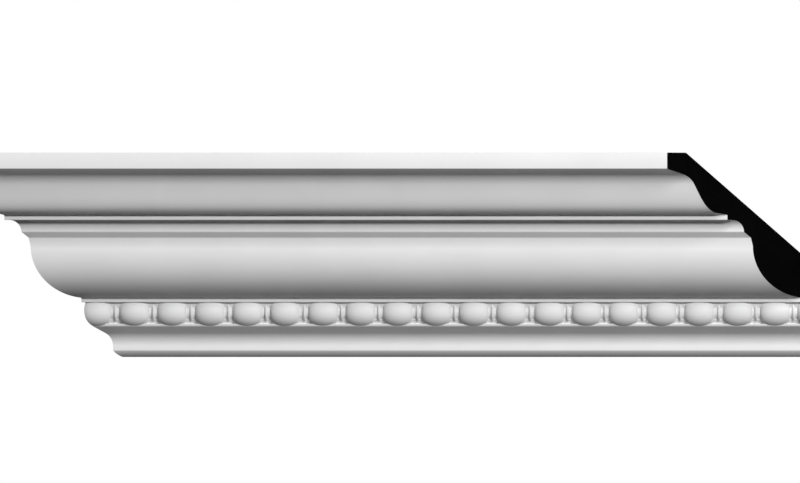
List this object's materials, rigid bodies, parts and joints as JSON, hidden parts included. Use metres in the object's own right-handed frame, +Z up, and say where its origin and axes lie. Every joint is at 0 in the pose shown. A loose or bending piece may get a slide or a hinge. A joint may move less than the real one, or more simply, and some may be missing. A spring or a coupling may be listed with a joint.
{
  "type": "cornice moulding length",
  "caption": "Straight length of cornice moulding with an ogee, a quarter round and a bead-and-reel row, mitred at both ends, with a flat sloping back.",
  "frame": {"origin": "middle of the flat face that lies against the wall", "axes": "+X along the length, +Y back into the wall, +Z up to the ceiling"},
  "size_m": [0.456, 0.095, 0.1022],
  "materials": {
    "primed_polyurethane": "factory-primed white, matte"
  },
  "bodies": {
    "root": {"cornice_moulding": "primed_polyurethane"}
  },
  "joints": []
}
